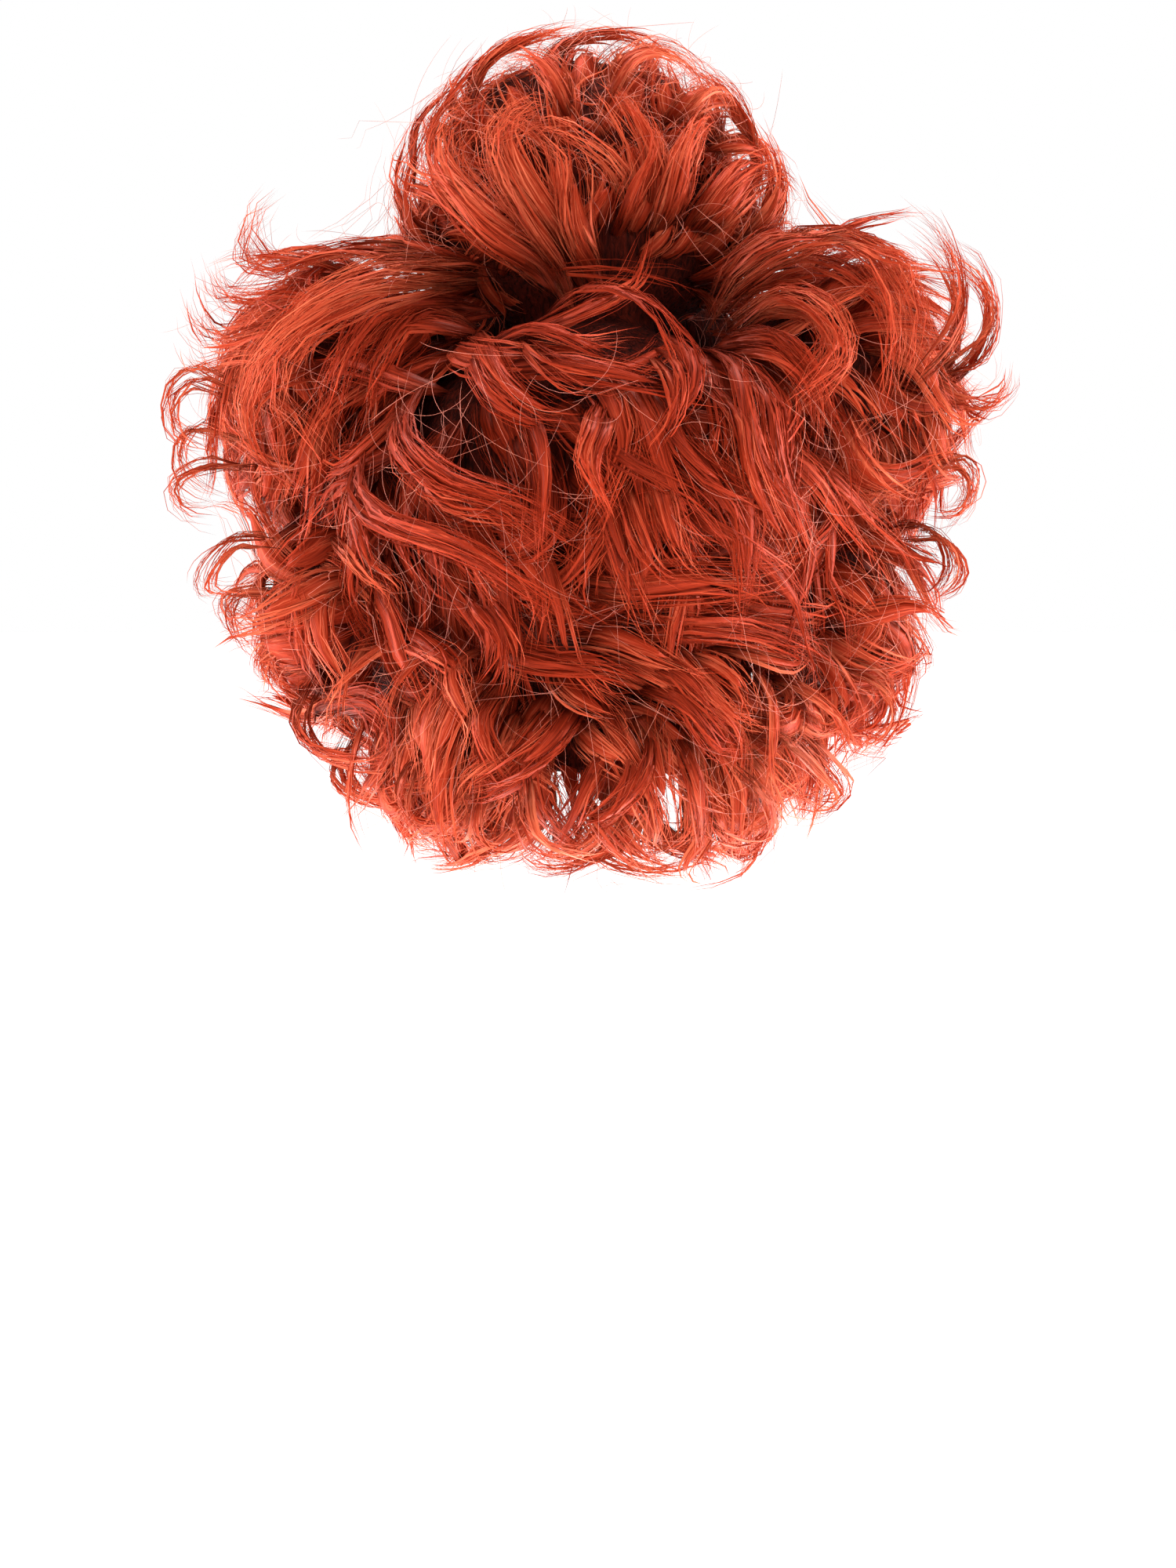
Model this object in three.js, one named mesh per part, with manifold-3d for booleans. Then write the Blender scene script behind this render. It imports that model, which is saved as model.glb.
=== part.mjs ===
// A clown wig of curled red hair, as worn: a hollow stretch cap with an edge band, and five
// sections of wefted curls round it: a tall top tuft, two side puffs, the back and the front.
//
// Millimetres, +Z up. The wearer faces +Y and +X is the wearer's right, so the back of the wig
// faces -Y. The origin is the point inside the cap where the crown of the head touches it.

import * as THREE from "three";
import { mergeVertices } from "three/addons/utils/BufferGeometryUtils.js";
import Module from "manifold-3d";

const wasm = await Module();
wasm.setup();

// The head that the cap fits
const headWidth = 152;
const headLength = 194;
const domeHeight = 88; // from the crown down to the widest line of the head

// Cap and edge band
const capWall = 1.6;
const bandWall = 1.4;
const bandHeight = 9;
const foreheadDrop = 50; // crown to the front edge of the cap
const templeDrop = 66;
const earTabDrop = 112;
const earArchDrop = 90;
const earArchTilt = 6; // how much lower the arch ends behind the ear
const napeDrop = 150;
const napeCorner = 8; // how much higher the nape's edge starts
const clearance = 0.4; // gap that neighbouring pieces keep

// Top tuft, measured on its solid heart, that the curls stand out of
const tuftWidth = 138;
const tuftDepth = 122;
const tuftHeight = 128; // above the crown
const tuftSetBack = 12; // middle of the tuft behind the middle of the head

// Front roll over the forehead
const frontWidth = 164;
const frontReach = 110; // forward of the middle of the head
const frontHeight = 58; // above the crown
const frontDrop = 66; // below the crown, at the temples

// Side puffs
const puffReach = 160; // sideways from the middle of the head
const puffHeight = 130;
const puffDepth = 146;
const puffDrop = 26; // middle of a puff below the crown
const puffSink = 34; // how far the hearts of the puffs run into the head, before it is cut away
const jawPuffReach = 142; // the smaller puff below and behind the ear
const jawPuffDrop = 110;
const jawPuffHeight = 124;
const jawPuffDepth = 132;
const jawPuffSetBack = 10;

// Back of the hair
const backReach = 136; // backward from the middle of the head
const backWidth = 206;
const backHeight = 178;
const backDrop = 64;
const napeReach = 128;
const napeWidth = 192;
const napeHeight = 126;
const napeBulgeDrop = 162;

// Curls
const tuftCurlLength = 88;
const frontCurlLength = 82;
const puffCurlLength = 98;
const backCurlLength = 112;
const curlWidth = 28;
const curlThickness = 13;
const rootDepth = 9; // how far a curl's root is sunk in the hair under it

// Partings between the sections
const frontPart = 40; // forward of the middle of the head
const topPart = 8; // above the crown
const topPartBend = 48; // behind the middle of the head, where the parting starts to climb
const topPartClimb = 40; // how far it climbs towards the back
const topPartBack = 150;
const sidePartAtCap = 64; // sideways, where the parting leaves the cap
const sidePartAtCapDrop = 22;
const sidePartOuter = 91; // sideways, at the notch between tuft and puff
const sidePartOuterHeight = 46;
const sidePartLow = 84; // sideways, at the foot of the hair

const curlSides = 5;
const curlRings = 7;
const curlFullness = { skew: 0.72, roundness: 0.75 }; // fullest before its middle, blunt ends
const domeSteps = 8;
const domeSides = 28;
const lobeSides = 12;
const lobeRings = 8;
const farAway = 400; // reach of the cutting solids, past every piece

const degrees = THREE.MathUtils.degToRad;

// Solids and meshes

function solidOf(geometry) {
  const bare = geometry.clone();
  bare.deleteAttribute("normal");
  bare.deleteAttribute("uv");
  const closed = mergeVertices(bare, 1e-3);
  return new wasm.Manifold(
    new wasm.Mesh({
      numProp: 3,
      vertProperties: new Float32Array(closed.attributes.position.array),
      triVerts: new Uint32Array(closed.index.array),
    }),
  );
}

// The outermost surface of the largest body: it fills the pockets that curls close off.
function onePiece(solid) {
  return solid.decompose().reduce((most, body) => (body.volume() > most.volume() ? body : most));
}

function joined(solids) {
  return solids.reduce((all, solid) => all.add(solid));
}

function meshOf(name, solid, material) {
  const { vertProperties, triVerts } = solid.getMesh();
  const geometry = new THREE.BufferGeometry();
  geometry.setAttribute("position", new THREE.BufferAttribute(vertProperties, 3));
  geometry.setIndex(new THREE.BufferAttribute(triVerts, 1));
  geometry.computeVertexNormals();
  const mesh = new THREE.Mesh(geometry, material);
  mesh.name = name;
  return mesh;
}

// Head hollow, cap and band

// The head's dome grown by a wall, with straight sides from its widest line down to a depth.
function headDome(grow, depth) {
  const profile = [new THREE.Vector2(0, -depth), new THREE.Vector2(1, -depth)];
  for (let i = 0; i < domeSteps; i += 1) {
    const angle = (i / domeSteps) * (Math.PI / 2);
    const rise = (domeHeight + grow) * Math.sin(angle);
    profile.push(new THREE.Vector2(Math.cos(angle), rise - domeHeight));
  }
  profile.push(new THREE.Vector2(0, grow));
  const dome = new THREE.LatheGeometry(profile, domeSides);
  dome.rotateX(Math.PI / 2);
  dome.scale(headWidth / 2 + grow, headLength / 2 + grow, 1);
  return solidOf(dome);
}

// The cap's lower edge seen from the side, from the forehead to the nape.
// along: share of half the head's length, forward positive. drop: below the crown.
const capEdge = [
  { along: 1.2, drop: foreheadDrop },
  { along: 0.92, drop: foreheadDrop },
  { along: 0.62, drop: templeDrop },
  { along: 0.48, drop: earTabDrop },
  { along: 0.3, drop: earTabDrop },
  { along: 0.1, drop: earArchDrop },
  { along: -0.22, drop: earArchDrop + earArchTilt },
  { along: -0.5, drop: napeDrop - napeCorner },
  { along: -0.8, drop: napeDrop },
  { along: -1.2, drop: napeDrop },
];

// A slab with an outline drawn from the side, as [forward, up] points, across the whole width.
function slabFromSide(outline) {
  const shape = new THREE.Shape(outline.map(([forward, up]) => new THREE.Vector2(forward, up)));
  const slab = new THREE.ExtrudeGeometry(shape, { depth: 2 * farAway, bevelEnabled: false });
  slab.translate(0, 0, -farAway);
  // The drawing's x and y become the frame's Y and Z, and its depth becomes X.
  slab.applyMatrix4(new THREE.Matrix4().set(0, 0, 1, 0, 1, 0, 0, 0, 0, 1, 0, 0, 0, 0, 0, 1));
  return solidOf(slab);
}

// Everything below the cap's edge, with the edge raised by a height.
function belowEdge(raised) {
  const edge = capEdge.map(({ along, drop }) => [(along * headLength) / 2, raised - drop]);
  const [front] = edge[0];
  const [rear] = edge.at(-1);
  return slabFromSide([...edge, [rear, -farAway], [front, -farAway]]);
}

function capShell() {
  return headDome(capWall, napeDrop).subtract(headDome(0, farAway)).subtract(belowEdge(0));
}

function bandZone(inner, outer, lower, upper) {
  const ring = headDome(outer, napeDrop + clearance).subtract(headDome(inner, farAway));
  return ring.intersect(belowEdge(upper)).subtract(belowEdge(lower));
}

function edgeBand() {
  const inner = capWall + clearance;
  return bandZone(inner, inner + bandWall, 0, bandHeight);
}

// What every section of hair leaves free: the cap, the band and the way in for the head.
function headRoom() {
  const overCap = capWall + clearance;
  const overBand = overCap + bandWall + clearance;
  const bandRoom = headDome(overBand, farAway).intersect(belowEdge(bandHeight + clearance));
  return headDome(overCap, farAway).add(bandRoom);
}

// Hair

function lobe(centre, radii) {
  return { centre: new THREE.Vector3(...centre), radii: new THREE.Vector3(...radii) };
}

const backMiddle = -(backReach + headLength / 2) / 4; // a quarter of the way in from both walls
const puffInner = headWidth / 2 - puffSink;

// The tuft's two bulges. middle and halfHeight: shares of its height. width, depth: shares of its own.
const tuftBulges = [
  { name: "tuftBase", middle: 0.34, halfHeight: 0.46, width: 1.08, depth: 1 },
  { name: "tuftTop", middle: 0.62, halfHeight: 0.38, width: 1, depth: 0.93 },
];

const lobes = {
  front: lobe([0, frontReach / 2, (frontHeight - frontDrop) / 2],
    [frontWidth / 2, frontReach / 2, (frontHeight + frontDrop) / 2]),
  back: lobe([0, backMiddle, -backDrop],
    [backWidth / 2, backReach + backMiddle, backHeight / 2]),
  nape: lobe([0, backMiddle, -napeBulgeDrop],
    [napeWidth / 2, napeReach + backMiddle, napeHeight / 2]),
};
for (const { name, middle, halfHeight, width, depth } of tuftBulges) {
  lobes[name] = lobe([0, -tuftSetBack, tuftHeight * middle],
    [(tuftWidth * width) / 2, (tuftDepth * depth) / 2, tuftHeight * halfHeight]);
}
for (const [side, sign] of [["left", -1], ["right", 1]]) {
  lobes[`${side}Puff`] = lobe([(sign * (puffInner + puffReach)) / 2, 0, -puffDrop],
    [(puffReach - puffInner) / 2, puffDepth / 2, puffHeight / 2]);
  lobes[`${side}Jaw`] = lobe([(sign * (puffInner + jawPuffReach)) / 2, -jawPuffSetBack, -jawPuffDrop],
    [(jawPuffReach - puffInner) / 2, jawPuffDepth / 2, jawPuffHeight / 2]);
}

function lobeSolid({ centre, radii }) {
  const ball = new THREE.SphereGeometry(1, lobeSides, lobeRings);
  ball.scale(radii.x, radii.y, radii.z);
  ball.translate(centre.x, centre.y, centre.z);
  return solidOf(ball);
}

// A curl is walked from its root, turning as it goes.
// azimuth: round its lobe from the back (-Y) towards +X. elevation: up from the lobe's middle.
// heading: its way over the lobe, from straight down towards growing azimuth.
// lift: its angle off the lobe at the root. roll: how far it bends back to the head in all.
// sweep: how far it bends sideways in all.
function curlSolid(home, { azimuth, elevation, heading, lift, roll, sweep, length, width }) {
  const az = degrees(azimuth);
  const el = degrees(elevation);
  const out = new THREE.Vector3(
    Math.sin(az) * Math.cos(el), -Math.cos(az) * Math.cos(el), Math.sin(el));
  const round = new THREE.Vector3(Math.cos(az), Math.sin(az), 0).multiply(home.radii).normalize();
  const down = new THREE.Vector3(
    Math.sin(az) * Math.sin(el), -Math.cos(az) * Math.sin(el), -Math.cos(el));
  down.multiply(home.radii).normalize();
  const normal = out.clone().divide(home.radii).normalize();
  const root = out.clone().multiply(home.radii).add(home.centre).addScaledVector(normal, -rootDepth);

  const forward = down.multiplyScalar(Math.cos(degrees(heading)));
  forward.addScaledVector(round, Math.sin(degrees(heading))).normalize();
  const across = forward.clone().cross(normal).normalize();
  forward.applyAxisAngle(across, degrees(lift));
  const stations = [];
  const point = root.clone();
  for (let i = 0; i <= curlRings; i += 1) {
    const flat = across.clone().cross(forward);
    stations.push({ point: point.clone(), across: across.clone(), flat });
    point.addScaledVector(forward, length / curlRings);
    forward.applyAxisAngle(across, -degrees(roll) / curlRings);
    const turn = degrees(sweep) / curlRings;
    forward.applyAxisAngle(flat, turn);
    across.applyAxisAngle(flat, turn);
  }

  // The rings of a sphere's mesh are moved to the stations, full in the middle, fine at the tip.
  const bent = new THREE.SphereGeometry(1, curlSides, curlRings);
  const position = bent.attributes.position;
  for (let i = 0; i < position.count; i += 1) {
    const ring = Math.floor(i / (curlSides + 1));
    const share = ring / curlRings;
    const fullness = Math.sin(Math.PI * share ** curlFullness.skew) ** curlFullness.roundness;
    const turn = ((i % (curlSides + 1)) / curlSides) * 2 * Math.PI;
    const station = stations[ring];
    const place = station.point.clone();
    place.addScaledVector(station.across, (Math.cos(turn) * fullness * width) / 2);
    place.addScaledVector(station.flat, (Math.sin(turn) * fullness * curlThickness) / 2);
    position.setXYZ(i, place.x, place.y, place.z);
  }
  const made = solidOf(bent);
  return made.volume() < 0 ? turnedOut(bent) : made;
}

function turnedOut(geometry) {
  const index = geometry.index.array;
  for (let i = 0; i < index.length; i += 3) {
    [index[i + 1], index[i + 2]] = [index[i + 2], index[i + 1]];
  }
  return solidOf(geometry);
}

// Tiers of curls. Each tier is a row round its lobe at one elevation, from one azimuth to another.
// length and width are shares of the section's own. sweep turns over from curl to curl.
const tierColumns = [
  "lobe", "elevation", "from", "to", "count", "heading", "lift", "roll", "sweep", "length", "width",
];

function tiersOf(rows) {
  return rows.map((row) => Object.fromEntries(tierColumns.map((column, i) => [column, row[i]])));
}

const tuftTiers = tiersOf([
  ["tuftTop", 58, -170, 100, 4, 0, 70, 200, 40, 1, 1.2],
  ["tuftTop", 18, -160, 160, 7, 15, 62, 185, 35, 0.95, 1.2],
  ["tuftBase", -14, -88, 88, 5, 172, 58, 150, 40, 1.05, 1.2],
]);

const frontTiers = tiersOf([
  ["front", 50, 125, 235, 3, 180, 60, 180, 30, 0.95, 1.25],
  ["front", 8, 118, 242, 4, 178, 60, 175, 35, 1, 1.25],
  ["front", -24, 120, 240, 4, 180, 50, 130, 30, 0.8, 1.2],
]);

const puffTiers = tiersOf([
  ["Puff", 34, 35, 145, 3, 178, 58, 170, 24, 1.1, 1.1],
  ["Puff", -2, 15, 165, 4, 20, 68, 200, 40, 1, 1.15],
  ["Puff", -36, 25, 150, 3, 10, 66, 195, 30, 0.95, 1.1],
  ["Jaw", -6, 15, 150, 3, 5, 60, 180, 40, 0.85, 1.1],
  ["Jaw", -44, 10, 160, 3, 0, 66, 185, 30, 0.75, 1.05],
]);

const backTiers = tiersOf([
  ["back", 40, -60, 60, 4, 15, 52, 130, 60, 1, 1.25],
  ["back", 12, -66, 66, 5, -15, 55, 150, 55, 1, 1.25],
  ["back", -16, -66, 66, 5, 20, 55, 155, 50, 0.95, 1.2],
  ["nape", 2, -72, 72, 5, -10, 58, 165, 45, 0.8, 1.15],
  ["nape", -36, -70, 70, 5, 8, 62, 165, 40, 0.72, 1.05],
  ["nape", -62, -60, 60, 4, 0, 66, 150, 40, 0.66, 1],
]);

// How far the curls of a tier differ from each other: degrees, and shares for roll and length.
const spread = { elevation: 7, heading: 14, lift: 6, roll: -0.12, length: 0.1 };

// A number from -1 to 1 that jumps about from curl to curl and row to row.
function waverOf(i, row, side) {
  return Math.sin(12.9 * i + 7.3 * row + (side === "left" ? 2.1 : 0));
}

// The curls of one section. On the left side a lobe's azimuths and headings are mirrored.
function curlsOf(tiers, curlLength, side) {
  const mirror = side === "left" ? -1 : 1;
  return tiers.flatMap((tier, row) => {
    const home = lobes[side ? side + tier.lobe : tier.lobe];
    return Array.from({ length: tier.count }, (_, i) => {
      const stagger = row % 2 ? 0.5 : 0; // every other row is shifted by part of a step
      const share = (i + stagger * 0.6) / (tier.count - 1 + stagger);
      const waver = waverOf(i, row, side);
      const turnsOver = (i + row) % 2 ? -1 : 1;
      return curlSolid(home, {
        azimuth: mirror * THREE.MathUtils.lerp(tier.from, tier.to, share),
        elevation: tier.elevation + spread.elevation * waver,
        heading: mirror * (tier.heading + spread.heading * waver),
        lift: tier.lift + spread.lift * waver,
        roll: tier.roll * (1 + spread.roll * waver),
        sweep: turnsOver * tier.sweep,
        length: curlLength * tier.length * (1 + spread.length * waver),
        width: curlWidth * tier.width,
      });
    });
  });
}

// Partings

const half = clearance / 2;
const frontStart = frontPart + half;
const frontEnd = frontPart - half;

// The half of space to one side of the side parting, drawn from behind and run front to back.
function sideZone(sign, inset) {
  const part = new THREE.Shape();
  part.moveTo(sign * (sidePartAtCap + inset), -sidePartAtCapDrop);
  part.lineTo(sign * (sidePartOuter + inset), sidePartOuterHeight);
  part.lineTo(sign * (sidePartOuter + inset), farAway);
  part.lineTo(sign * farAway, farAway);
  part.lineTo(sign * farAway, -farAway);
  part.lineTo(sign * (sidePartLow + inset), -farAway);
  part.lineTo(sign * (sidePartLow + inset), -jawPuffDrop);
  part.closePath();
  const slab = new THREE.ExtrudeGeometry(part, { depth: 2 * farAway, bevelEnabled: false });
  slab.translate(0, 0, -farAway);
  slab.rotateX(Math.PI / 2);
  return solidOf(slab);
}

// The line that parts tuft and back, seen from the side and moved up by a height.
function topPartLine(raised) {
  return [
    [frontEnd, topPart + raised],
    [-topPartBend, topPart + raised],
    [-topPartBack, topPart + topPartClimb + raised],
    [-farAway, topPart + topPartClimb + raised],
  ];
}

const zones = {
  left: sideZone(-1, half),
  right: sideZone(1, half),
  front: slabFromSide([
    [farAway, -farAway], [farAway, farAway], [frontStart, farAway], [frontStart, -farAway],
  ]),
  top: slabFromSide([...topPartLine(half), [-farAway, farAway], [frontEnd, farAway]]),
  back: slabFromSide([...topPartLine(-half), [-farAway, -farAway], [frontEnd, -farAway]]),
};
const sides = sideZone(-1, -half).add(sideZone(1, -half));

const sections = [
  { name: "hair_top", zone: "top", hearts: ["tuftBase", "tuftTop"], tiers: tuftTiers,
    curlLength: tuftCurlLength },
  { name: "hair_front", zone: "front", hearts: ["front"], tiers: frontTiers,
    curlLength: frontCurlLength },
  { name: "hair_left", zone: "left", hearts: ["leftPuff", "leftJaw"], tiers: puffTiers,
    curlLength: puffCurlLength, side: "left" },
  { name: "hair_right", zone: "right", hearts: ["rightPuff", "rightJaw"], tiers: puffTiers,
    curlLength: puffCurlLength, side: "right" },
  { name: "hair_back", zone: "back", hearts: ["back", "nape"], tiers: backTiers,
    curlLength: backCurlLength },
];

function sectionSolid({ zone, side, hearts, tiers, curlLength }, room) {
  const grown = [...hearts.map((name) => lobeSolid(lobes[name])), ...curlsOf(tiers, curlLength, side)];
  const parted = joined(grown).intersect(zones[zone]);
  return onePiece((side ? parted : parted.subtract(sides)).subtract(room));
}

// Assembly

const capNet = new THREE.MeshStandardMaterial({ color: 0x5a1a10, roughness: 0.9, metalness: 0 });
const bandElastic = new THREE.MeshStandardMaterial({ color: 0x3c1410, roughness: 0.8, metalness: 0 });
const hairRed = new THREE.MeshStandardMaterial({ color: 0xb4341c, roughness: 0.5, metalness: 0 });

const wig = new THREE.Group();
wig.name = "clown_wig";
wig.add(meshOf("cap", capShell(), capNet));
wig.add(meshOf("edge_band", edgeBand(), bandElastic));
const room = headRoom();
for (const section of sections) {
  wig.add(meshOf(section.name, sectionSolid(section, room), hairRed));
}

export default wig;
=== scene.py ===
# A clown wig of curled red hair on a stretch cap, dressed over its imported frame.
# A lock is a bundle: a soft flat body, narrow ribbons round it and single hairs over them.
import math

import bmesh
import bpy
import numpy as np
from mathutils import Matrix, Vector, noise


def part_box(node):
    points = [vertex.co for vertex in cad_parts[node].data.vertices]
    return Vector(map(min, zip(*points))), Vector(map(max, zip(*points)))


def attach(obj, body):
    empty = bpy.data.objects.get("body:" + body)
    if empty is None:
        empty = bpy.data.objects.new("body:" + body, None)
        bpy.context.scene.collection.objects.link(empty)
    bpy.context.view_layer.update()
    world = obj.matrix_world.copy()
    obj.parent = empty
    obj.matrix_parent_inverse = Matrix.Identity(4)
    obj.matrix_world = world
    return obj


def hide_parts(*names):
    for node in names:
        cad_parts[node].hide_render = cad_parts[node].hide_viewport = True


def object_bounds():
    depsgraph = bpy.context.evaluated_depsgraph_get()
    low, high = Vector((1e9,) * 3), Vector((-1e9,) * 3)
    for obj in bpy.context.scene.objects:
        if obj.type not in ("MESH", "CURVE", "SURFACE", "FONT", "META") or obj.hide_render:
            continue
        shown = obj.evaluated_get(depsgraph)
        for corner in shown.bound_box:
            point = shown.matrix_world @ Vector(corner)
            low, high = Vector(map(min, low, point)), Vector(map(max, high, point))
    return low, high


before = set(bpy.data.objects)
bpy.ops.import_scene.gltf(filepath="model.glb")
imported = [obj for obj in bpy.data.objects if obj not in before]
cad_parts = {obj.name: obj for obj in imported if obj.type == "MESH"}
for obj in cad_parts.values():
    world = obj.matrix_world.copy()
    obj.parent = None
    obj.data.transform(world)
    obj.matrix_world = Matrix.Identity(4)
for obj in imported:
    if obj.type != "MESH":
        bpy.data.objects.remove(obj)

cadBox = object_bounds()
noise.seed_set(5)  # noise_vector starts from the clock otherwise, and no two runs would match
mm = 0.001
upward = np.array([0.0, 0.0, 1.0])


# Camera: behind the wig, level with the neck, through a long lens

photoView = {
    "widthPixels": 1500,
    "heightPixels": 2000,
    "frameHeight": 0.684,   # metres of the object's plane that the picture takes in
    "aimHeight": -0.194,    # middle of the picture, below the crown
    "distance": 2.4,
    "elevation": 3.0,       # degrees above level
}


def placeCamera(view):
    data = bpy.data.cameras.new("photoCamera")
    data.sensor_fit = "VERTICAL"
    data.sensor_height = 24.0
    data.lens = data.sensor_height * view["distance"] / view["frameHeight"]
    data.clip_end = 30.0
    camera = bpy.data.objects.new("photoCamera", data)
    bpy.context.collection.objects.link(camera)
    tilt = math.radians(view["elevation"])
    away = Vector((0.0, -math.cos(tilt), math.sin(tilt)))
    camera.location = Vector((0.0, 0.0, view["aimHeight"])) + away * view["distance"]
    camera.rotation_euler = (math.pi / 2 - tilt, 0.0, 0.0)
    bpy.context.scene.camera = camera


placeCamera(photoView)
print("camera placed")


# The rounded forms of the hair, as shares of the boxes of its solids

lobeTable = [
    # name, solid, middle of the lobe, half its size
    ("tuftBase", "hair_top", (0.50, 0.636, 0.269), (0.465, 0.450, 0.449)),
    ("tuftTop", "hair_top", (0.49, 0.636, 0.543), (0.400, 0.410, 0.370)),
    ("front", "hair_front", (0.493, 0.171, 0.358), (0.519, 0.635, 0.468)),
    ("back", "hair_back", (0.50, 0.683, 0.664), (0.615, 0.490, 0.355)),
    ("nape", "hair_back", (0.50, 0.683, 0.274), (0.573, 0.450, 0.262)),
    ("leftPuff", "hair_left", (0.670, 0.499, 0.606), (0.530, 0.447, 0.238)),
    ("leftJaw", "hair_left", (0.750, 0.438, 0.299), (0.449, 0.404, 0.227)),
    ("rightPuff", "hair_right", (0.284, 0.444, 0.612), (0.455, 0.380, 0.249)),
    ("rightJaw", "hair_right", (0.214, 0.392, 0.290), (0.386, 0.344, 0.238)),
]


def lobeFrom(solid, middle, half):
    low, high = (np.array(corner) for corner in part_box(solid))
    size = high - low
    return {"middle": low + size * np.array(middle), "radii": size * np.array(half)}


lobes = {name: lobeFrom(solid, middle, half) for name, solid, middle, half in lobeTable}

headRoom = {
    "widestDrop": 0.088,  # crown down to the widest line of the head
    "gap": 0.0035,        # between the cap's cloth and the hair over it
}
capLow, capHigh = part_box("cap")
headMiddle = np.array([0.0, 0.0, -headRoom["widestDrop"]])
headRadii = np.array([
    capHigh.x + headRoom["gap"],
    -capLow.y + headRoom["gap"],
    capHigh.z + headRoom["widestDrop"] + headRoom["gap"],
])


def headShare(points):
    # under 1 inside the head: a dome above its widest line, an upright column below
    offset = (points - headMiddle) / headRadii
    offset[..., 2] = np.maximum(offset[..., 2], 0.0)
    return np.linalg.norm(offset, axis=-1)


def clearOfHead(points, roomShare=1.0):
    share = headShare(points) / roomShare
    push = 1.0 / np.clip(share, 0.25, 1.0)
    offset = points - headMiddle
    grown = offset * push[..., None]
    grown[..., 2] = np.where(offset[..., 2] > 0.0, grown[..., 2], offset[..., 2])
    return headMiddle + grown


def lobeShare(points, lobe):
    return np.linalg.norm((points - lobe["middle"]) / lobe["radii"], axis=-1)


def heldIn(points, give):
    # hair that stands past the rounded forms is drawn back, so that the outline keeps its shape
    free = 1.03  # share of a form's radii at which that starts
    shares = np.stack([lobeShare(points, lobe) for lobe in lobes.values()])
    nearest = np.argmin(shares, axis=0)
    share = np.min(shares, axis=0)
    middles = np.stack([lobe["middle"] for lobe in lobes.values()])[nearest]
    drawn = np.where(share > free, (free + (share - free) * give) / np.maximum(share, 1e-6), 1.0)
    return middles + (points - middles) * drawn[..., None]


def backOf(x, z):
    # depth and facing of the hair's rounded form where a level line from behind meets it
    best, facing, reach = None, None, None
    for lobe in lobes.values():
        across = (x - lobe["middle"][0]) / lobe["radii"][0]
        rise = (z - lobe["middle"][2]) / lobe["radii"][2]
        spare = 1.0 - across ** 2 - rise ** 2
        bulge = math.sqrt(max(spare, 0.0))
        depth = lobe["middle"][1] - lobe["radii"][1] * bulge
        if spare < 0.0:
            depth += 0.02 * min(-spare, 1.0)  # past the edge the hair bends away from the camera
        if best is None or (spare >= 0.0, -depth) > (reach >= 0.0, -best):
            normal = np.array([across, -bulge, rise]) / lobe["radii"]
            best, facing, reach = depth, normal / np.linalg.norm(normal), min(spare, 0.0)
    return best, facing


# Hair paths: the middle line of a lock, with its flat side's direction at each station

def unit(vectors):
    return vectors / np.maximum(np.linalg.norm(vectors, axis=-1, keepdims=True), 1e-9)


def smoothed(values, rounds):
    for _ in range(rounds):
        inner = (values[:-2] + 2.0 * values[1:-1] + values[2:]) / 4.0
        values = np.concatenate([values[:1], inner, values[-1:]])
    return values


def pathOf(points, normals):
    forward = unit(np.gradient(points, axis=0))
    normals = unit(normals - forward * np.sum(normals * forward, axis=1, keepdims=True))
    steps = np.linalg.norm(np.diff(points, axis=0), axis=1)
    bends = np.clip(np.sum(forward[1:] * forward[:-1], axis=1), -1.0, 1.0)
    return {
        "points": points,
        "normals": normals,
        "across": np.cross(forward, normals),
        "length": float(steps.sum()),
        "turning": float(np.degrees(np.arccos(bends)).sum()),
    }


def walkedPath(root, normal, heading, habit, chance):
    # rises from the hair under it, rolls back to the head, and may flick out again at the tip
    stations = 26
    normal = Vector(normal)
    forward = Vector(heading)
    forward = (forward - normal * forward.dot(normal)).normalized()
    across = forward.cross(normal)
    lift = math.radians(chance.uniform(*habit["lift"]))
    roll = math.radians(chance.uniform(*habit["roll"]))
    flick = 0.0
    if chance.uniform() < habit["flickShare"]:
        roll = lift + math.radians(chance.uniform(5, 40))
        flick = math.radians(chance.uniform(*habit["flick"]))
    swing = noise.noise(Vector(root) * habit["swirl"] + Vector((7.3, 1.9, 4.4))) * 1.6
    sweep = math.radians(habit["sweep"]) * (swing + chance.normal(0.0, 0.35))
    length = chance.uniform(*habit["length"]) * mm
    late = chance.uniform(0.0, habit["tipCurl"])
    phase = chance.uniform(0.0, 2.0 * math.pi)
    shares = (np.arange(stations) + 0.5) / stations
    inward = 1.0 + late * 3.0 * shares ** 2
    outward = np.clip((shares - 0.5) / 0.5, 0.0, 1.0)
    if flick:
        inward = np.clip((0.65 - shares) / 0.65, 0.0, 1.0)
    bends = flick * outward / outward.sum() - roll * inward / inward.sum()
    swings = sweep / stations * (0.5 + 1.5 * np.cos(1.7 * math.pi * shares + phase))
    forward = Matrix.Rotation(lift, 3, across) @ forward
    point = Vector(root) - normal * habit["sink"] * mm
    points, normals = [], []
    for bend, turn in zip(bends, swings):
        flat = across.cross(forward)
        points.append(point.copy())
        normals.append(flat)
        point = point + forward * (length / stations)
        forward = Matrix.Rotation(turn, 3, flat) @ (Matrix.Rotation(bend, 3, across) @ forward)
        across = Matrix.Rotation(turn, 3, flat) @ across
    return pathOf(np.array(points), np.array(normals))


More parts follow.
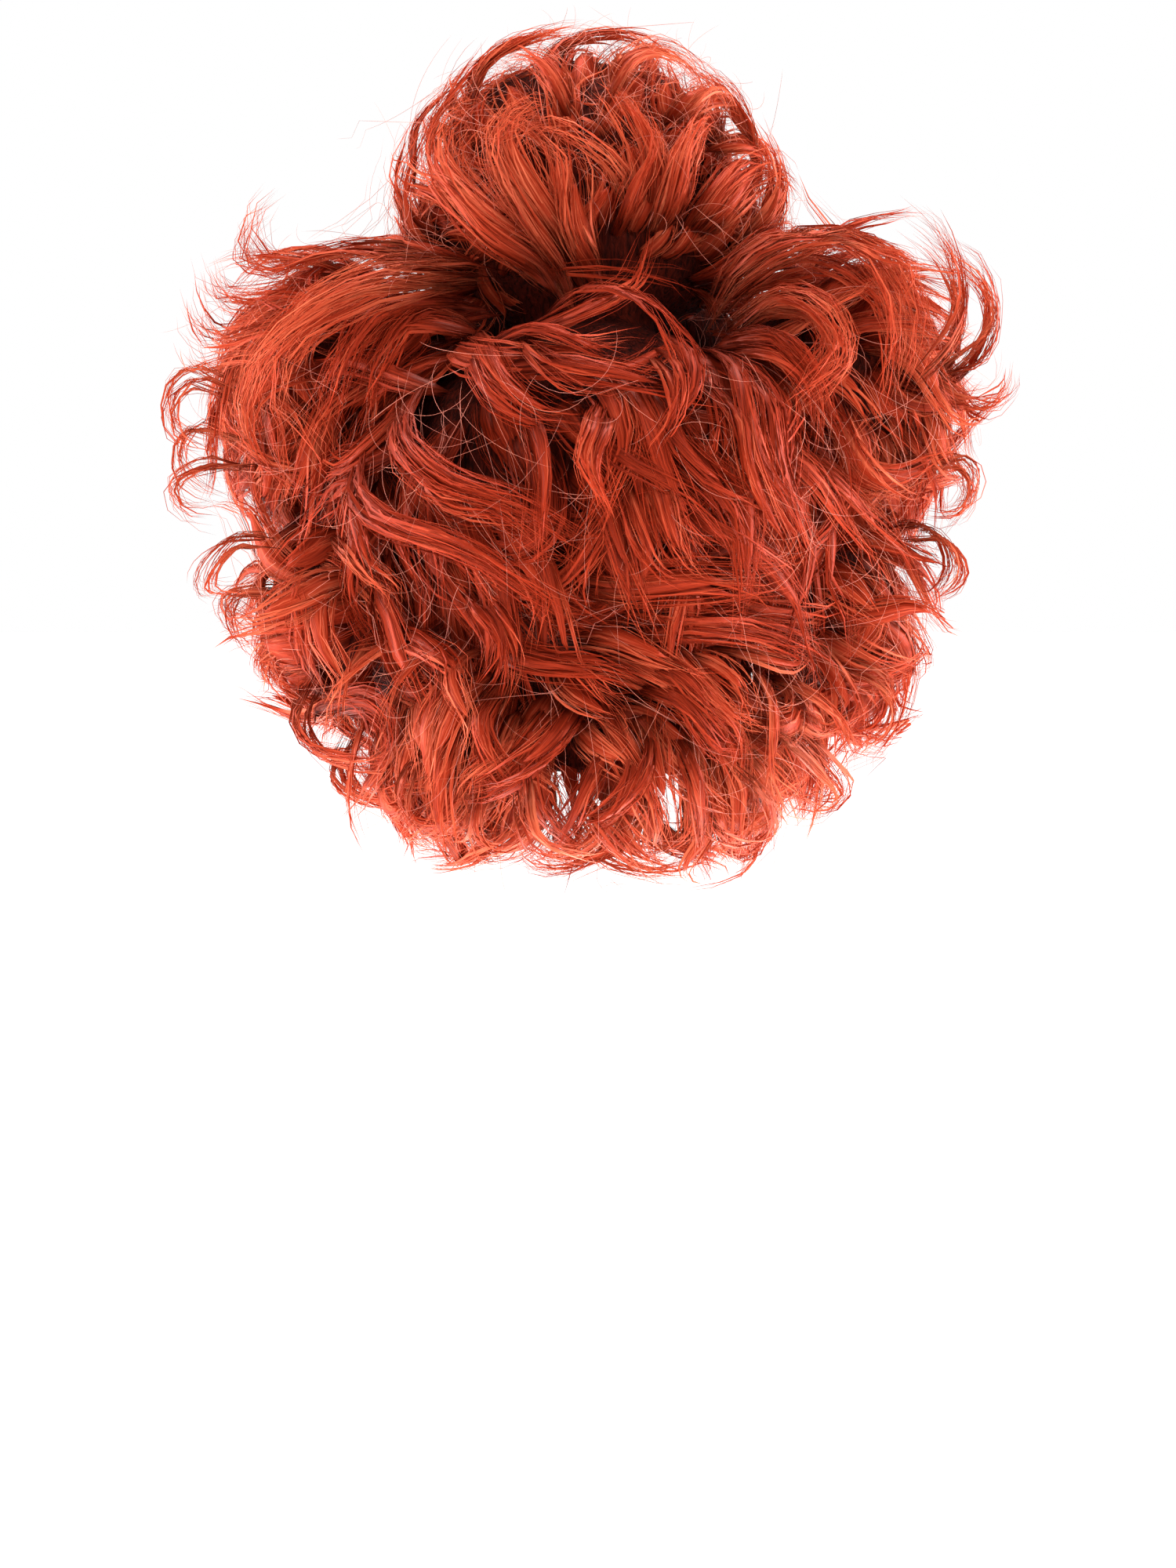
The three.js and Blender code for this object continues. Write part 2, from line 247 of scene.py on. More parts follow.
def tracedPath(outline, lift, sink, tuck):
    # outline: (x, z) places in millimetres seen from behind, laid on the rounded form
    knots = np.array(outline, float) * mm
    lengths = np.concatenate([[0.0], np.cumsum(np.linalg.norm(np.diff(knots, axis=0), axis=1))])
    ends = np.vstack([2 * knots[0] - knots[1], knots, 2 * knots[-1] - knots[-2]])
    stations = 30
    flat = []
    for share in np.linspace(0.0, 1.0, stations):
        at = share * lengths[-1]
        i = min(int(np.searchsorted(lengths, at, side="right")) - 1, len(knots) - 2)
        t = (at - lengths[i]) / (lengths[i + 1] - lengths[i])
        a, b, c, d = ends[i:i + 4]
        flat.append(0.5 * (2 * b + (c - a) * t + (2 * a - 5 * b + 4 * c - d) * t ** 2
                           + (3 * b - a - 3 * c + d) * t ** 3))
    flat = smoothed(np.array(flat), 5)
    seen = [backOf(x, z) for x, z in flat]
    depth = smoothed(np.array([y for y, _ in seen]), 36)
    normals = unit(smoothed(np.array([facing for _, facing in seen]), 36))
    points = np.column_stack([flat[:, 0], depth, flat[:, 1]])
    t = np.linspace(0.0, 1.0, stations)
    height = lift * np.sin(np.pi * t) ** 0.8
    hidden = sink * np.clip(1.0 - t / 0.3, 0.0, 1.0) ** 1.5 + tuck * np.clip(t * 4.0 - 3.0, 0.0, 1.0) ** 1.5
    level = normals * np.array([0.3, 1.0, 0.3])  # in and out as seen from behind, so the outline stays
    points = points + level * ((height - hidden) * mm)[:, None]
    return pathOf(points, normals)


# Tubes: each one runs from a closed root to a closed tip

def newStore():
    return {"places": [], "quads": [], "triangles": [], "maps": [], "tones": [], "shares": [],
            "rims": [], "count": 0}


def addTubes(store, centres, side, halfWidth, halfThickness, sides, maps, tones, shares, flat=False):
    tubes, stations, _ = centres.shape
    forward = unit(np.gradient(centres, axis=1))
    side = unit(side - forward * np.sum(side * forward, axis=2, keepdims=True))
    over = np.cross(forward, side)
    angles = np.arange(sides) * (2.0 * math.pi / sides) + math.pi / 2  # one edge faces out
    cos = np.cos(angles)[None, None, :, None]
    sin = np.sin(angles)[None, None, :, None]
    rings = centres[:, 1:-1, None, :] + (
        side[:, 1:-1, None, :] * cos * halfWidth[:, 1:-1, None, None]
        + over[:, 1:-1, None, :] * sin * halfThickness[:, 1:-1, None, None])
    inner = stations - 2
    perTube = 2 + inner * sides
    places = np.empty((tubes, perTube, 3))
    places[:, 0] = centres[:, 0]
    places[:, 1:-1] = rings.reshape(tubes, inner * sides, 3)
    places[:, -1] = centres[:, -1]

    mapping = np.empty((tubes, perTube, 2))
    mapping[:, 0] = maps[:, 0]
    mapping[:, -1] = maps[:, -1]
    ringMap = np.repeat(maps[:, 1:-1, None, :], sides, axis=2)
    ringMap[..., 0] = ringMap[..., 0] + halfWidth.max(axis=1)[:, None, None] * np.cos(angles) / 0.01
    mapping[:, 1:-1] = ringMap.reshape(tubes, inner * sides, 2)

    along = np.empty((tubes, perTube))
    along[:, 0] = shares[:, 0]
    along[:, -1] = shares[:, -1]
    along[:, 1:-1] = np.repeat(shares[:, 1:-1], sides, axis=1)

    ring = np.arange(sides)
    rims = np.zeros((tubes, perTube), int)  # the two edges of a flat ribbon, which stay sharp
    if flat:
        rims[:, 1:-1] = np.tile(ring, inner)
    nextOne = (ring + 1) % sides
    quads = []
    for i in range(inner - 1):
        low = 1 + i * sides
        high = low + sides
        quads.append(np.column_stack([low + ring, low + nextOne, high + nextOne, high + ring]))
    quads = np.concatenate(quads)
    last = 1 + (inner - 1) * sides
    caps = np.concatenate([
        np.column_stack([np.zeros(sides, int), 1 + nextOne, 1 + ring]),
        np.column_stack([last + ring, last + nextOne, np.full(sides, perTube - 1)]),
    ])
    starts = (store["count"] + np.arange(tubes) * perTube)[:, None, None]
    store["places"].append(places.reshape(-1, 3))
    store["maps"].append(mapping.reshape(-1, 2))
    store["tones"].append(np.repeat(tones, perTube))
    store["shares"].append(along.reshape(-1))
    store["rims"].append(rims.reshape(-1))
    store["quads"].append((quads[None] + starts).reshape(-1, 4))
    store["triangles"].append((caps[None] + starts).reshape(-1, 3))
    store["count"] += tubes * perTube


def meshFrom(name, store, material):
    places = np.concatenate(store["places"])
    quads = np.concatenate(store["quads"])
    triangles = np.concatenate(store["triangles"])
    mesh = bpy.data.meshes.new(name)
    mesh.vertices.add(len(places))
    mesh.vertices.foreach_set("co", places.astype(np.float32).ravel())
    corners = np.concatenate([quads.ravel(), triangles.ravel()]).astype(np.int32)
    starts = np.concatenate([np.arange(len(quads)) * 4, len(quads) * 4 + np.arange(len(triangles)) * 3])
    mesh.loops.add(len(corners))
    mesh.loops.foreach_set("vertex_index", corners)
    mesh.polygons.add(len(starts))
    mesh.polygons.foreach_set("loop_start", starts.astype(np.int32))
    mesh.update(calc_edges=True)
    mesh.shade_smooth()
    ends = np.empty(2 * len(mesh.edges), np.int32)
    mesh.edges.foreach_get("vertices", ends)
    rims = np.concatenate(store["rims"])[ends.reshape(-1, 2)]
    sharp = (rims[:, 0] > 0) & (rims[:, 0] == rims[:, 1])
    mesh.attributes.new("sharp_edge", "BOOLEAN", "EDGE").data.foreach_set("value", sharp)
    maps = np.concatenate(store["maps"])[corners].astype(np.float32)
    mesh.uv_layers.new(name="strandMap").data.foreach_set("uv", maps.ravel())
    for label, values in (("toneAndPaintedLight", store["tones"]), ("along", store["shares"])):
        attribute = mesh.attributes.new(label, "FLOAT", "POINT")
        attribute.data.foreach_set("value", np.concatenate(values).astype(np.float32))
    mesh.materials.append(material)
    piece = bpy.data.objects.new(name, mesh)
    bpy.context.collection.objects.link(piece)
    print(f"{name}: {2 * len(quads) + len(triangles)} triangles")
    return piece


# Locks

def readPath(path, t):
    count = len(path["points"])
    at = np.clip(t, 0.0, 1.0) * (count - 1)
    low = np.minimum(at.astype(int), count - 2)
    share = (at - low)[..., None]
    return [path[key][low] * (1.0 - share) + path[key][low + 1] * share
            for key in ("points", "across", "normals")]


def fullness(t):
    # gathered at the root, full before the middle, drawn together at the tip
    return np.sin(math.pi * np.clip(t, 0.0, 1.0) ** 0.7) ** 0.7


def rolledPath(path, lock, t):
    # the path read at t, with its section turned a little along the way
    points, across, normals = readPath(path, t)
    roll = lock["roll"] * np.sin(np.pi * t)[..., None]
    return (points, across * np.cos(roll) + normals * np.sin(roll),
            normals * np.cos(roll) - across * np.sin(roll))


def settled(points, lock):
    return clearOfHead(heldIn(points, lock["give"]), 1.01)


def addBody(store, path, lock, look, chance):
    stations = int(np.clip(look["stations"] + path["turning"] / 30, 8, 14))
    t = np.linspace(0.02, chance.uniform(*look["reach"]), stations)[None]
    points, across, normals = rolledPath(path, lock, t)
    full = fullness(t / t.max())
    half = full * lock["width"] * look["width"] * 0.5 * mm
    waver = np.sin(t * chance.uniform(9, 16) + chance.uniform(0, 6.28)) * lock["width"] * 0.04 * mm
    points = settled(points + across * waver[..., None], lock)
    maps = np.stack([np.full_like(t, lock["home"]), t * path["length"] / 0.01], axis=-1)
    # the body's darker tone is painted shade inside the lock
    addTubes(store, points, across, half, full * lock["thickness"] * look["thickness"] * 0.5 * mm,
             look["sides"], maps, np.array([lock["toneAndPaintedLight"] * look["paintedShade"]]), t)


def addStrands(store, path, lock, look, count, chance):
    stations = int(np.clip(look["stations"] + path["turning"] / 42, 7, 12))
    first = chance.uniform(0.0, 0.12, count)
    last = 1.0 - chance.uniform(0.0, 1.0, count) ** 1.4 * look["short"]
    steps = np.linspace(0.0, 1.0, stations)[None]
    t = first[:, None] + (last - first)[:, None] * steps
    points, across, normals = rolledPath(path, lock, t)
    place = chance.uniform(-1.0, 1.0, count) * look["around"]  # angle round the lock's section
    reach = chance.uniform(*look["reach"], count)
    tip = lock["tips"][chance.integers(0, len(lock["tips"]), count)]  # the end that it is drawn into
    gather = np.clip((t - 0.45) / 0.55, 0.0, 1.0) ** 1.5
    spread = (0.25 + 0.75 * fullness(t)) * (1.0 - look["gather"] * gather)
    sideways = (np.sin(place) * reach)[:, None] * spread + tip[:, :1] * gather
    outward = (np.cos(place) * reach)[:, None] * spread + tip[:, 1:] * gather
    points = points + across * (sideways * lock["width"] * 0.5 * mm)[..., None]
    points = points + normals * (outward * lock["thickness"] * 0.5 * mm)[..., None]
    points = points + chance.normal(0.0, look["stray"] * mm, (count, 1, 3)) * (t ** 1.6)[..., None]
    for way in (across, normals):
        waves = path["length"] / chance.uniform(*look["waveLength"], count)[:, None]
        ripple = np.sin(2.0 * math.pi * t * waves + chance.uniform(0.0, 6.28, count)[:, None])
        points = points + way * (ripple * look["ripple"] * mm * (0.3 + t))[..., None]
    taper = np.minimum(1.0, 0.4 + steps * 2.4) * (1.0 - 0.9 * steps ** 2.4)
    half = chance.uniform(*look["half"], count)[:, None] * mm * taper
    lean = place[:, None, None] * look["lean"]
    side = across * np.cos(lean) - normals * np.sin(lean)
    maps = np.stack([np.broadcast_to(lock["home"] + (sideways[:, :1] * lock["width"] * 0.05), t.shape),
                     t * path["length"] / 0.01], axis=-1)
    # each strand's tone: the lock's, shifted lighter for outer strands as painted light, with a random spread
    tones = np.clip(lock["toneAndPaintedLight"] + chance.normal(look["light"], 0.12, count), 0.0, 1.0)
    addTubes(store, settled(points, lock), side, half, np.maximum(half * look["flat"], 0.00008),
             look["sides"], maps, tones, t, look["flat"] < 1.0)


# the body under the ribbons takes a darker tone: painted shade
bodyLook = {"sides": 6, "stations": 6, "reach": (0.52, 0.76), "width": 0.70, "thickness": 0.6, "paintedShade": 0.60}
ribbonLook = {  # thin and narrow, they fray the edges and the tip
    "sides": 3, "half": (0.4, 1.05), "flat": 0.25, "stations": 5, "short": 0.34, "around": 1.8,
    "reach": (0.70, 1.10), "gather": 0.66, "lean": 0.75, "stray": 2.6, "ripple": 0.9,
    "waveLength": (0.036, 0.07), "light": 0.04,
}
hairLook = {  # single hairs over the ribbons, a lighter tone on them as painted light
    "sides": 3, "half": (0.13, 0.24), "flat": 1.0, "stations": 5, "short": 0.25, "around": 1.9,
    "reach": (0.95, 1.15), "gather": 0.55, "lean": 0.0, "stray": 3.4, "ripple": 0.9,
    "waveLength": (0.028, 0.07), "light": 0.18,
}


def growLock(store, path, width, chance, habit):
    tips = int(chance.integers(1, 4))
    lock = {
        "width": width,
        "thickness": width * habit["flatness"],
        "home": chance.uniform(0.0, 40.0),  # where the lock reads its streaks
        # random, shifted by region: lighter as painted light, darker as painted shade
        "toneAndPaintedLight": chance.uniform(*habit["toneAndPaintedLight"]),
        "roll": math.radians(chance.uniform(-32, 32)),
        "tips": chance.uniform(-0.6, 0.6, (tips, 2)),
        "give": habit["give"],
    }
    if habit["body"]:
        addBody(store, path, lock, bodyLook, chance)
    for look, perMm in ((ribbonLook, "ribbonsPerMm"), (hairLook, "hairsPerMm")):
        addStrands(store, path, lock, look, max(2, int(round(width * habit[perMm]))), chance)


def rootsOn(name, spacing, chance, keepOut):
    # evenly spread points on a lobe, apart from those inside another lobe or the head
    lobe = lobes[name]
    a, b, c = lobe["radii"]
    area = 4.0 * math.pi * (((a * b) ** 1.6 + (a * c) ** 1.6 + (b * c) ** 1.6) / 3.0) ** (1 / 1.6)
    count = int(area / (spacing * mm) ** 2)
    i = np.arange(count) + 0.5
    height = 1.0 - 2.0 * i / count
    turn = i * math.pi * (3.0 - math.sqrt(5.0)) + chance.uniform(0, 6.28)
    level = np.sqrt(1.0 - height ** 2)
    out = np.column_stack([np.cos(turn) * level, np.sin(turn) * level, height])
    out = unit(out + chance.normal(0.0, 0.06, out.shape))
    roots = lobe["middle"] + out * lobe["radii"]
    normals = unit(out / lobe["radii"])
    free = headShare(roots) > 1.04
    for other, form in lobes.items():
        if other != name:
            free &= lobeShare(roots, form) > keepOut
    return roots[free], normals[free]


# Flow of the hair: away from the crown at the back of the head, and down

flow = {
    "crown": np.array([0.004, -0.112, 0.008]),
    "down": 0.55,
    "nearby": 0.030,  # metres over which a combed direction gives way to the next
}

combedRows = [
    # where it is seen from behind (x, z), and which way the hair runs there (x, z)
    (-140, 30, -0.8, 0.2), (-170, 0, -0.2, -1.0), (-110, 0, -0.7, -0.6), (-150, -50, -0.9, -0.3),
    (-130, -75, -0.9, -0.5), (-90, 20, -1.0, -0.1), (-75, -30, 0.2, -1.0), (-60, -75, 0.8, -0.6),
    (-30, 0, 0.8, -0.5), (-20, -45, 0.7, -0.8), (0, -20, 0.4, -1.0), (10, -70, -0.1, -1.0),
    (40, -10, 0.5, -1.0), (55, -50, 0.2, -1.0), (85, -85, 0.7, -0.8), (75, 25, 1.0, 0.2),
    (115, 20, 1.0, 0.1), (160, 0, 0.5, -0.9), (120, -35, 0.2, -1.0), (150, -60, 0.9, -0.4),
    (-20, -105, 0.9, -0.4), (50, -110, 0.9, -0.3), (110, -120, 0.9, -0.3), (-110, -110, -0.9, -0.3),
    (-140, -110, -1.0, 0.1), (-70, -130, -0.5, -0.9), (-20, -150, -0.3, -1.0), (30, -160, 0.5, -0.9),
    (80, -150, 0.8, -0.7), (125, -150, 0.8, -0.5), (-100, -170, -0.7, -0.6), (-40, -195, -0.6, -0.7),
    (20, -205, 0.4, -0.9), (70, -190, 0.7, -0.6), (-30, 55, -0.5, 0.9), (10, 60, 0.1, 1.0),
    (45, 55, 0.6, 0.8), (-70, 75, -0.9, 0.4), (75, 75, 0.9, 0.3), (0, 110, 0.4, 0.6),
]
combed = np.array(combedRows)


def headingAt(root, normal, habit, chance):
    # away from the crown and down, and as the photographed side is combed
    away = unit(root - flow["crown"]) - upward * flow["down"] * habit["fall"]
    offsets = combed[:, :2] * mm - root[[0, 2]]
    weights = 1.0 / (np.sum(offsets ** 2, axis=1) + flow["nearby"] ** 2 * 0.2) ** 2
    run = unit(weights @ combed[:, 2:])
    seen = float(np.clip(0.35 - normal[1] * 1.3, 0.0, 1.0)) * habit["combed"]
    heading = unit(away) * (1.0 - seen) + np.array([run[0], 0.0, run[1]]) * seen
    swirl = np.array(noise.noise_vector(Vector(root) * habit["swirl"])) * habit["wave"]
    return unit(heading + swirl + chance.normal(0.0, habit["wild"], 3))


crownHollow = {"middle": np.array([0.008, 0.012]), "half": np.array([0.046, 0.015]), "deepest": -0.05}


def inHollow(root, share=1.0):
    # the dark parting at the crown, where no lock is rooted
    offset = (root[[0, 2]] - crownHollow["middle"]) / crownHollow["half"]
    return np.linalg.norm(offset) < share and root[1] < crownHollow["deepest"]


visualLimit = {"share": 0.03, "stand": 0.008}  # how far past the solids' box the hair may stand
boxSize = np.array(cadBox[1] - cadBox[0])
lowest = np.array(cadBox[0]) - boxSize * visualLimit["share"] - visualLimit["stand"]
highest = np.array(cadBox[1]) + boxSize * visualLimit["share"] + visualLimit["stand"]


def fits(path, margin):
    points = path["points"]
    return bool(np.all(points > lowest + margin) and np.all(points < highest - margin))


def growCoat(store, names, habit, chance):
    grown = 0
    for name in names:
        roots, normals = rootsOn(name, habit["spacing"], chance, habit["keepOut"])
        for root, normal in zip(roots, normals):
            if inHollow(root):
                continue
            inset = root - normal * habit["depth"] * mm
            path = walkedPath(inset, normal, headingAt(root, normal, habit, chance), habit, chance)
            width = chance.uniform(*habit["width"])
            if fits(path, 0.012):
                growLock(store, path, width, chance, habit)
                grown += 1
    return grown


def growTraced(store, rows, habit, chance):
    # each traced lock is two to four that part and cross a little
    for width, lift, *outline in rows:
        parts = 2 if width < 16 else 3 if width < 22 else 4
        look = dict(habit, body=habit["body"] and width > 15)
        for _ in range(parts):
            aside = chance.normal(0.0, width * 0.16, 2)
            shaken = chance.normal(0.0, width * 0.07, (len(outline), 2))
            loose = np.array(outline, float) * habit["inset"] + aside + shaken
            rise = lift * habit["rise"] + chance.uniform(-4.0, 4.0)
            path = tracedPath(loose, rise, habit["sink"], habit["tuck"])
            path["points"][:, 1] += chance.normal(0.0, habit["scatter"]) * mm
            growLock(store, path, width * chance.uniform(0.34, 0.66), chance, look)


# Habits of the hair. Lengths in millimetres, angles in degrees.

sheetHabit = {  # broad locks that lie flat and close the gaps
    "spacing": 29, "keepOut": 0.94, "depth": 13, "sink": 3, "lift": (12, 30), "roll": (50, 110),
    "sweep": 70, "length": (50, 78), "width": (20, 30), "tipCurl": 0.5, "flickShare": 0.2, "flick": (30, 90),
    "fall": 1.0, "wild": 0.16, "wave": 0.8, "swirl": 22.0, "combed": 0.9, "give": 0.55, "toneAndPaintedLight": (0.2, 0.75),
    "flatness": 0.20, "body": True, "ribbonsPerMm": 0.36, "hairsPerMm": 0.26,
}
curlHabit = dict(  # curls that rise off the sheets, roll over or flick out
    sheetHabit, spacing=22, depth=8, sink=6, lift=(18, 46), roll=(50, 150), sweep=150,
    length=(62, 112), width=(8, 18), tipCurl=1.0, flickShare=0.5, flick=(40, 130), wild=0.24, wave=0.9,
    flatness=0.34, ribbonsPerMm=0.52, hairsPerMm=0.66)
tracedHabit = dict(
    sheetHabit, sink=30, tuck=3, scatter=2, rise=0.8, inset=1.0, flatness=0.30, give=1.0,
    ribbonsPerMm=0.60, hairsPerMm=0.90)
# the tuft's lighter tone is painted light from above
tuftHabit = dict(tracedHabit, inset=0.985, scatter=7, toneAndPaintedLight=(0.45, 1.0))
edgeHabit = dict(  # thin wisps, given a lighter tone as painted light shining through them
    tracedHabit, sink=20, scatter=15, body=False, inset=0.965, ribbonsPerMm=0.8, hairsPerMm=1.5,
    toneAndPaintedLight=(0.5, 1.0))

# the top takes a lighter tone: painted light from above
topHabits = {
    "sheets": dict(sheetHabit, spacing=22, length=(36, 56), width=(14, 22), fall=-0.3, wild=0.4,
                   combed=0.5, toneAndPaintedLight=(0.5, 1.0)),
    "curls": dict(curlHabit, spacing=14.5, depth=8, length=(28, 50), width=(5, 10), fall=-0.3, wild=0.8,
                  swirl=30.0, wave=1.2, combed=0.3, lift=(4, 30), roll=(70, 190), sweep=190,
                  give=0.15, hairsPerMm=0.52, toneAndPaintedLight=(0.5, 1.0)),
}
frontHabits = {
    "sheets": dict(sheetHabit, spacing=23, length=(46, 70), width=(18, 26), ribbonsPerMm=0.5,
                   hairsPerMm=0.6),
    "curls": dict(curlHabit, spacing=19, length=(42, 74)),
}
puffHabits = {
    "sheets": dict(sheetHabit, length=(50, 76), toneAndPaintedLight=(0.3, 0.8)),
    "curls": dict(curlHabit, spacing=20.5, toneAndPaintedLight=(0.35, 0.95)),
}
# the back takes a darker tone: painted shade
backHabits = {
    "sheets": dict(sheetHabit, toneAndPaintedLight=(0.0, 0.3)),
    "curls": dict(curlHabit, spacing=20, depth=5, length=(76, 126), width=(9, 20), lift=(10, 34),
                  roll=(60, 140), swirl=30, wave=0.9, toneAndPaintedLight=(0.0, 0.45)),
}
# the nape takes a lighter tone: painted light
napeHabits = {
    "sheets": dict(sheetHabit, toneAndPaintedLight=(0.55, 1.0)),
    "curls": dict(curlHabit, spacing=18, depth=5, length=(52, 96), width=(8, 17), toneAndPaintedLight=(0.6, 1.0)),
}

# Locks seen from behind: width, lift over the form, then places (x, z) from root to tip

topRows = [
    (24, 12, (-6, 16), (-23, 33), (-43, 51), (-58, 73), (-56, 92), (-38, 98)),
    (26, 16, (-3, 20), (-16, 41), (-31, 63), (-36, 83), (-26, 94), (-11, 92)),
    (22, 12, (2, 23), (-6, 43), (-11, 66), (-16, 81), (-23, 88)),
    (14, 22, (22, 44), (14, 63), (1, 78), (-16, 87), (-33, 85)),
    (18, 12, (11, 36), (21, 58), (25, 76), (21, 94)),
    (22, 18, (29, 36), (34, 56), (38, 73), (46, 86), (55, 82)),
    (20, 8, (24, 41), (29, 63), (24, 83), (14, 100), (4, 110)),
    (22, 12, (42, 38), (56, 58), (69, 68), (81, 66), (86, 56)),
    (16, 8, (-46, 48), (-62, 58), (-75, 64), (-80, 76)),
    (16, 8, (54, 78), (67, 84), (76, 76), (75, 62)),
    (16, 8, (-6, 92), (-11, 108), (-23, 118), (-38, 117)),
    (16, 8, (9, 95), (16, 110), (29, 119), (44, 112), (50, 100)),
    (16, 8, (34, 86), (48, 98), (60, 98), (67, 86)),
    (18, 4, (-66, 34), (-79, 56), (-77, 78), (-69, 97)),
    (18, 4, (-76, 72), (-70, 92), (-58, 110), (-40, 124)),
    (18, 4, (-56, 104), (-42, 120), (-22, 130), (0, 133)),
    (18, 4, (-20, 122), (0, 131), (20, 128), (36, 117)),
    (18, 4, (66, 34), (79, 54), (77, 74), (68, 92)),
    (18, 4, (75, 66), (68, 86), (56, 104), (38, 118)),
]
leftRows = [
    (26, 16, (-36, 23), (-61, 31), (-88, 23), (-115, 8), (-135, -7), (-142, -31), (-135, -49)),
    (20, 14, (-61, 38), (-86, 38), (-113, 33), (-135, 26), (-148, 38), (-145, 56), (-133, 63)),
    (18, 10, (-95, 23), (-120, 18), (-148, 13), (-165, 18), (-170, 33)),
    (16, 8, (-113, 8), (-138, 6), (-160, -1), (-172, 8), (-174, 21)),
    (14, 6, (-130, -12), (-150, -14), (-168, -16), (-176, -4)),
    (12, 6, (-140, -36), (-158, -26), (-175, -19), (-184, -31), (-180, -46), (-163, -51)),
    (12, 6, (-145, -51), (-163, -41), (-178, -41), (-182, -54), (-175, -66), (-157, -70)),
    (12, 6, (-148, -64), (-163, -59), (-180, -66), (-175, -79), (-158, -81)),
    (12, 6, (-138, -91), (-153, -91), (-165, -101), (-168, -111), (-153, -113)),
    (14, 8, (-133, -118), (-150, -116), (-161, -123), (-155, -136), (-140, -136)),
    (14, 8, (-123, -138), (-138, -138), (-145, -148), (-133, -156)),
    (20, 12, (-120, -93), (-100, -101), (-86, -118), (-90, -133)),
]
rightRows = [
    (26, 16, (54, 8), (69, 28), (91, 40), (113, 36), (131, 18), (136, -7), (128, -31)),
    (24, 20, (56, 1), (79, 11), (101, 6), (108, -12), (93, -26), (84, -41)),
    (18, 8, (141, -24), (156, -4), (160, 18), (151, 41), (136, 54)),
    (16, 6, (153, -26), (173, -12), (181, 8), (173, 28), (158, 41)),
    (14, 6, (148, -14), (168, -31), (182, -24), (184, -14)),
    (20, 10, (103, 48), (126, 38), (141, 31), (136, 18)),
    (14, 6, (136, -59), (153, -54), (168, -64), (163, -79), (148, -81)),
    (14, 6, (136, -86), (153, -89), (161, -104), (151, -113), (136, -111)),
    (12, 6, (126, -118), (141, -121), (151, -141), (138, -143)),
    (14, 8, (111, -143), (128, -148), (131, -168), (118, -178), (106, -171)),
]
hemRows = [
    (16, 8, (-10, -196), (6, -219), (24, -230), (38, -226)),
    (16, 8, (16, -194), (10, -216), (-4, -229), (-20, -229), (-28, -220)),
    (14, 8, (-24, -192), (-20, -214), (-6, -226), (10, -229)),
    (16, 10, (84, -164), (98, -181), (108, -195), (98, -203), (84, -195)),
    (16, 10, (60, -180), (74, -198), (76, -212), (62, -216), (50, -206)),
    (16, 10, (-126, -150), (-130, -168), (-118, -182), (-96, -188), (-84, -178)),
    (16, 10, (-104, -176), (-112, -194), (-100, -205), (-78, -205), (-68, -194)),
    (16, 10, (-74, -190), (-76, -208), (-62, -217), (-48, -210)),
    (14, 10, (-46, -190), (-50, -212), (-38, -223), (-24, -218)),
]
backRows = [
    (5, 8, (-41, 21), (-16, 26), (19, 26), (44, 18), (51, 6)),
    (14, 12, (-23, 6), (-1, 12), (19, 12), (31, 1), (40, -16), (45, -36)),
    (13, 5, (-31, 4), (-23, -2), (-7, -7), (13, -6), (25, -3)),
    (15, 6, (-31, 2), (-26, -10), (-15, -20), (3, -24), (21, -20)),
    (18, 8, (-52, 6), (-46, -8), (-34, -27), (-15, -37), (5, -39)),
    (20, 4, (48, 18), (64, 33), (84, 42), (106, 42)),
    (18, 0, (56, 14), (76, 22), (94, 24), (110, 18)),
    (20, 4, (-52, 22), (-70, 35), (-92, 40), (-114, 36)),
    (18, 0, (-60, 26), (-78, 31), (-94, 31), (-108, 26)),
    (24, 16, (-46, 13), (-71, 11), (-90, 1), (-103, -19), (-110, -46)),
    (24, 18, (-48, 8), (-71, 1), (-86, -16), (-90, -36)),
    (22, 14, (56, -1), (76, -7), (93, -24), (98, -49)),
    (20, 20, (-86, -31), (-95, -50), (-93, -71), (-76, -84), (-51, -86), (-31, -101), (-6, -118), (14, -123)),
    (22, 16, (-71, -14), (-76, -46), (-56, -66), (-31, -71), (-6, -91), (4, -94)),
    (16, 20, (9, -26), (4, -46), (1, -56), (9, -71), (14, -81)),
    (16, 18, (26, -1), (38, -20), (36, -36), (29, -46), (24, -58)),
    (22, 20, (51, -7), (64, -26), (66, -51), (74, -69), (86, -86), (95, -106)),
    (22, 14, (21, -46), (26, -71), (36, -89), (54, -96)),
    (18, 16, (39, -59), (51, -76), (74, -91), (93, -113)),
    (22, 14, (9, -126), (39, -121), (69, -126), (96, -131), (103, -151)),
    (18, 14, (-46, -126), (-21, -136), (11, -142), (29, -153)),
    (20, 12, (16, -141), (36, -151), (51, -168), (69, -171)),
    (20, 14, (-56, -103), (-41, -118), (-36, -138), (-43, -153)),
    (20, 12, (-90, -126), (-66, -131), (-56, -143), (-61, -163)),
    (20, 12, (-33, -148), (-41, -168), (-33, -188), (-16, -190)),
    (22, 14, (-6, -151), (-21, -173), (-36, -183), (-56, -188)),
    (20, 12, (24, -161), (19, -183), (4, -198), (-13, -203)),
    (16, 12, (36, -163), (44, -186), (47, -208), (44, -226), (34, -229)),
    (14, 10, (59, -173), (71, -193), (78, -211), (69, -221), (56, -214)),
    (20, 12, (-125, -161), (-100, -153), (-86, -163), (-88, -183)),
    (20, 8, (-20, -160), (-24, -184), (-14, -206), (4, -218)),
    (20, 8, (14, -164), (4, -186), (-8, -206), (-26, -216)),
]


# Materials

